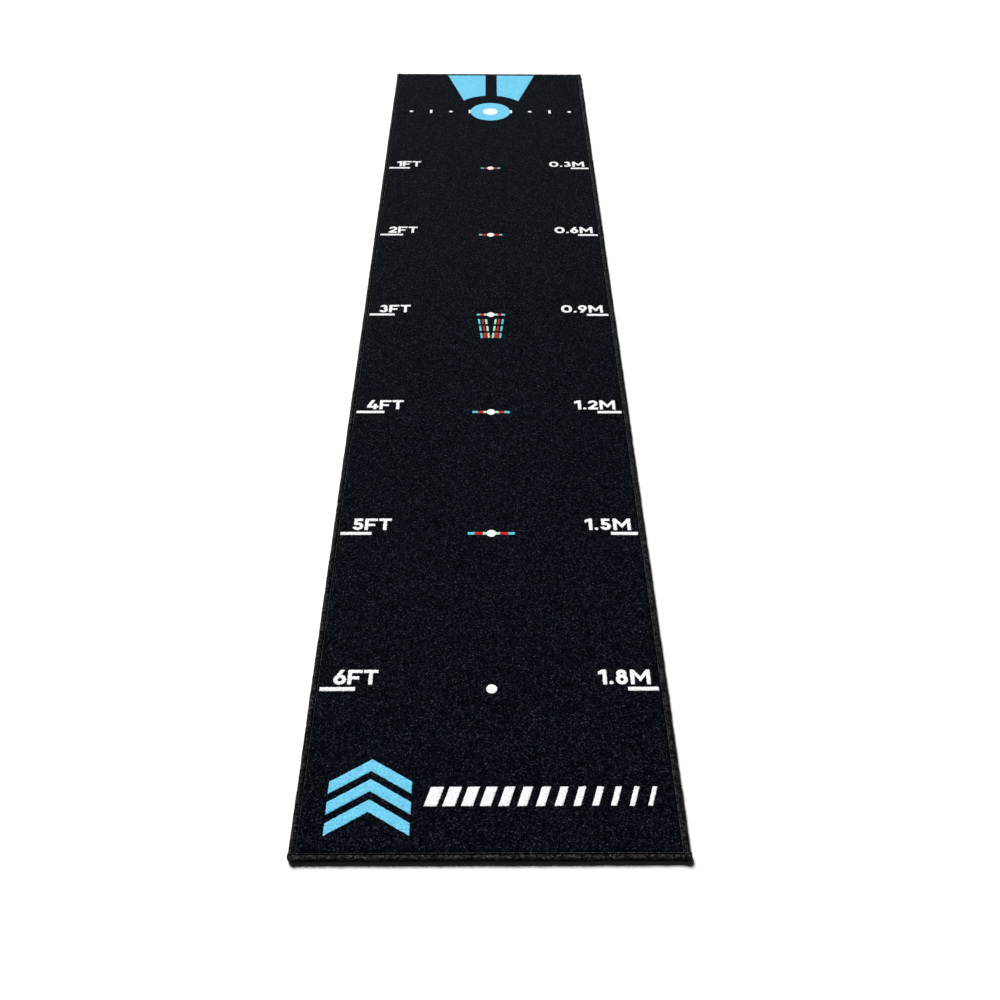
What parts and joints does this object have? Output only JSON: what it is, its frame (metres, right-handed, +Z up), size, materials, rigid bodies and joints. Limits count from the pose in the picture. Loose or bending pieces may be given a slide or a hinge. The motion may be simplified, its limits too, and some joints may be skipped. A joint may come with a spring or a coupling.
{
  "type": "practice putting mat",
  "caption": "Long narrow cut-pile putting mat with a rubber back, serged edges, a target disc, aiming gates and distance lines.",
  "frame": {"origin": "middle of the underside, on the floor that the mat lies on", "axes": "+Y along the length towards the target end, +X to the right as the player looks at the target, +Z up out of the pile"},
  "size_m": [0.5, 2.321, 0.008],
  "materials": {
    "rubber": "matt, fine cloth-pressed grain",
    "latex": "matt, dried latex",
    "cloth": "plain woven tape yarns",
    "pile_black": "cut pile, near-black navy",
    "pile_white": "cut pile, dyed white",
    "pile_blue": "cut pile, dyed light blue",
    "pile_cyan": "cut pile, dyed turquoise",
    "pile_red": "cut pile, dyed red",
    "pile_green": "cut pile, dyed pale green",
    "yarn_black": "bulked wrapping yarn, low sheen",
    "thread_grey": "sewing thread, slight sheen"
  },
  "bodies": {
    "root": {"rubber_backing": "rubber", "latex_coat": "latex", "tufting_cloth": "cloth", "pile_field": "pile_black", "target_disc": "pile_blue", "target_bull": "pile_white", "rim_ticks": "pile_white", "row_dots": "pile_white", "row_ticks": "pile_white", "target_wings": "pile_blue", "left_lines": "pile_white", "right_lines": "pile_white", "feet_labels": "pile_white", "metre_labels": "pile_white", "gate_dots": "pile_white", "gate_blue": "pile_cyan", "gate_red": "pile_red", "gate_green": "pile_green", "lane_blue": "pile_cyan", "lane_red": "pile_red", "lane_green": "pile_green", "end_chevrons": "pile_blue", "end_bars": "pile_white", "serging_left": "yarn_black", "serging_right": "yarn_black", "serging_front": "yarn_black", "serging_rear": "yarn_black", "needle_thread": "thread_grey"}
  },
  "joints": []
}
